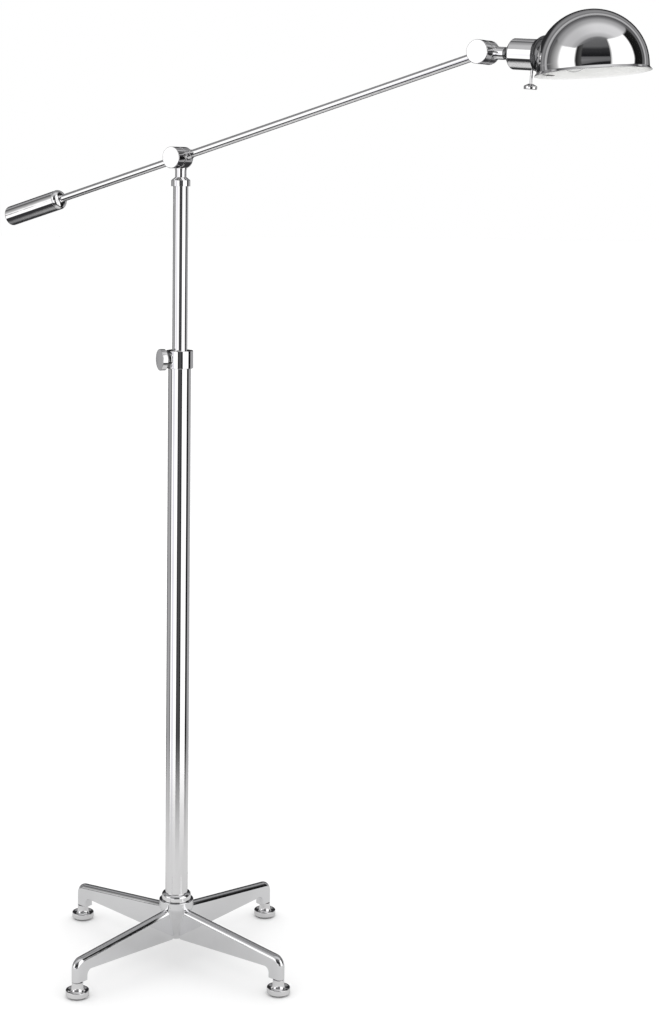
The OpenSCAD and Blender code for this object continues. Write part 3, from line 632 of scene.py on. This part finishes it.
switch_way = head @ move(x=79) @ turn(180, "X")
piece("switch_spindle", turned([(0, 17.5), (2, 17.5), (2, 45), (0, 45)], switch_way, steps=48), chrome,
      "switch_stem")
piece("switch_button", turned([(0, 50.5), (9.75, 50.5), (9.75, 45.6), (3.2, 42.3), (2.02, 42.3), (2.02, 45.1),
                               (0, 45.1)], switch_way, corner=0.2, corners={1: 0.9, 2: 0.8}),
      chrome, "switch_knob")


# ---- CAD nodes that show as they are ----

finishes = {
    steel: ["pole_plug", "pole_stud", "pole_washer", "pole_nut", "clamp_screw", "bush_clips", "weight_screw",
            "swivel_nut"],
    nylon: ["collar_bush", "guide_bush"],
    rubber: ["cord_grommet"],
    sheath: ["supply_lead", "mast_lead", "arm_lead"],
    pad_brass: ["clamp_pad"],
    brass: ["screw_shell"],
    cap_metal: ["bulb_cap"],
    phenolic: ["lamp_holder", "switch_body"],
    aluminium: ["shade_clamp_ring"],
}
for finish, names in finishes.items():
    for name in names:
        mesh = nodes[name].data
        mesh.materials.clear()
        mesh.materials.append(finish)


# ---- Studio: a pale floor, and a room of soft boxes with a dark gap behind the camera ----

CAMERA_YAW, CAMERA_PITCH, CAMERA_ROLL = radians(37.188), radians(2.216), radians(0.412)
CAMERA_AT = Vector((1.9753, -2.4705, 1.3174))
LENS, LENS_SHIFT = 66.93, (0.1, -0.25)
FACING = radians(38.15)    # from -Y to the side the camera is on


def floor_plate(name, radius, height, tones, seen_in_metal):
    bm = bmesh.new()
    bmesh.ops.create_circle(bm, cap_ends=True, segments=128, radius=radius)
    bmesh.ops.translate(bm, verts=bm.verts, vec=(0, 0, height))
    mesh = bpy.data.meshes.new(name)
    bm.to_mesh(mesh)
    bm.free()
    item = link(name, mesh)
    material, tree = new_material(name)
    tone = tree.mix(tree.noise(1.2, 3.0), *((level, level, level, 1) for level in tones))
    if seen_in_metal:
        paper = tree.node("ShaderNodeBsdfPrincipled", Base_Color=tone, Roughness=0.9)
        clear = tree.node("ShaderNodeBsdfTransparent")
        faded = tree.radius(upright_pole).step(0.4, radius * 0.96)
        blended = tree.node("ShaderNodeMixShader", _0=faded, _1=paper, _2=clear)
        tree.node("ShaderNodeOutputMaterial", Surface=blended)
    else:
        tree.surface(Base_Color=tone, Roughness=0.9, Specular_IOR_Level=0.1)
    mesh.materials.append(material)
    item.visible_glossy, item.visible_camera, item.visible_diffuse = seen_in_metal, not seen_in_metal, False
    item.visible_shadow = not seen_in_metal


floor_plate("floor", 40.0, -0.0006, (0.9, 0.93), False)
floor_plate("sweep", 1.4, -0.0003, (0.5, 0.62), True)

world = bpy.data.worlds.new("studio")
bpy.context.scene.world = world
world.use_nodes = True
room = Tree(world.node_tree)
way = room.node("ShaderNodeTexCoord")
toward = Vector((sin(FACING), -cos(FACING), 0))
right = Vector((cos(FACING), sin(FACING), 0))
ahead = room.node("ShaderNodeVectorMath", {"operation": "DOT_PRODUCT"}, out=1, _0=way, _1=toward)
across = room.node("ShaderNodeVectorMath", {"operation": "DOT_PRODUCT"}, out=1, _0=way, _1=right)
height = room.node("ShaderNodeSeparateXYZ", out=2, Vector=way)
bearing = across.math("ARCTAN2", ahead) / (2 * pi) + 0.5
lift = height.math("ARCSINE") * (180 / pi)


def grey(shown, blue=0.01):
    """A grey that is seen at this share of white."""
    level = shown ** 2.2
    return level, level, level + blue * shown


WHITE, BLACK, GAP = grey(1.1, 0), grey(0.1), grey(0.3)
LILAC, SIDE, DARK = (0.83, 0.82, 0.88), grey(0.64), grey(0.26)
bands = [(-180, DARK), (-142, DARK), (-139, SIDE), (-93, SIDE), (-91, DARK), (-83, DARK), (-80, WHITE),
         (-70, WHITE), (-64, LILAC), (-50, LILAC), (-45, WHITE), (-18, WHITE), (-15, BLACK), (-9, BLACK),
         (-5, GAP), (14, GAP), (18, BLACK), (26, BLACK), (29, WHITE), (79, WHITE), (82, BLACK), (105, BLACK),
         (108, SIDE), (160, SIDE), (168, DARK), (180, DARK)]
walls = [(-180, 0.3), (-130, 0.24), (-112, 0.36), (-100, 0.6), (-90, 0.76), (-83, 1.1), (-51, 1.1),
         (-47, 0.1), (-38, 0.3), (-22, 0.24), (-14, 0.36), (10, 0.42), (24, 0.2), (30, 1.1), (80, 1.1),
         (84, 0.1), (108, 0.14), (118, 0.36), (150, 0.42), (180, 0.3)]
wall_heights = [(-180, 42), (-110, 36), (-95, 31), (-52, 30), (-46, 34), (-30, 42), (-12, 48), (6, 49),
                (22, 48), (32, 48), (88, 46), (110, 44), (180, 42)]


def round_room(stops):
    return room.ramp(bearing, [((angle + 180) / 360, colour) for angle, colour in stops], "LINEAR")


wall = round_room([(angle, grey(shown, 0)) for angle, shown in walls])
shelves = room.ramp(lift / 90, [(0.03, grey(0.5)), (0.13, grey(0.4)), (0.16, grey(0.13)), (0.3, grey(0.2)),
                                (0.4, grey(0.38)), (0.6, grey(0.42))])
angle = (bearing - 0.5) * 360
wall = room.mix(angle.step(-37, -33) - angle.step(22, 26), wall, shelves)
wall_top = round_room([(angle, (share / 90, share / 90, share / 90)) for angle, share in wall_heights])
ceiling = room.ramp(ahead / 2 + 0.5, [(0.34, grey(0.5)), (0.42, grey(0.66)), (0.55, grey(0.86)),
                                      (0.68, grey(0.84)), (0.76, grey(0.72)), (0.8, grey(0.44)),
                                      (0.85, grey(0.36))])
ceiling = room.mix(across.step(0.1, -0.6) * 0.35, ceiling, (*grey(0.5), 1))
behind = room.ramp(ahead / 2 + 0.5, [(0.0, grey(0.3)), (0.06, grey(0.45)), (0.14, grey(0.56)),
                                     (0.19, grey(0.46)), (0.22, grey(0.74)), (0.25, grey(0.66)),
                                     (0.275, grey(0.3)), (0.31, grey(0.4))])
high, beside = lift.step(24, 34), ahead.step(-0.86, -0.72)
behind = room.mix(high + beside - high * beside, (*grey(0.18), 1), behind)
seen = room.mix((lift - wall_top * 90).step(-1.5, 1.5), wall, ceiling)
seen = room.mix(ahead.step(-0.36, -0.3), behind, seen)
seen = room.mix(lift.step(0.5, 3), round_room(bands), seen)
seen = room.mix(lift.step(-30, -24), (*grey(0.22), 1), seen)
camera_ray = room.node("ShaderNodeLightPath", out="Is Camera Ray")
glossy_ray = room.node("ShaderNodeLightPath", out="Is Glossy Ray")
plain = room.mix(camera_ray, (1.2, 1.2, 1.2, 1), (1.0, 1.0, 1.0, 1))
light = room.mix(glossy_ray, plain, seen)
backdrop = room.node("ShaderNodeBackground", Color=light, Strength=1.0)
room.node("ShaderNodeOutputWorld", Surface=backdrop)

lens = bpy.data.cameras.new("camera")
camera = link("camera", lens)
bpy.context.scene.camera = camera
look = Vector((-sin(CAMERA_YAW) * cos(CAMERA_PITCH), cos(CAMERA_YAW) * cos(CAMERA_PITCH), -sin(CAMERA_PITCH)))
level = Vector((cos(CAMERA_YAW), sin(CAMERA_YAW), 0))
upright = level.cross(look)
camera_right = level * cos(CAMERA_ROLL) + upright * sin(CAMERA_ROLL)
camera_up = upright * cos(CAMERA_ROLL) - level * sin(CAMERA_ROLL)
facing_way = Matrix((camera_right, camera_up, -look)).transposed().to_4x4()
camera.matrix_world = Matrix.Translation(CAMERA_AT) @ facing_way
lens.sensor_fit, lens.sensor_height, lens.lens = "VERTICAL", 36, LENS
lens.shift_x, lens.shift_y = LENS_SHIFT
lens.clip_start, lens.clip_end = 0.05, 200
bpy.context.scene.view_settings.view_transform = "Standard"
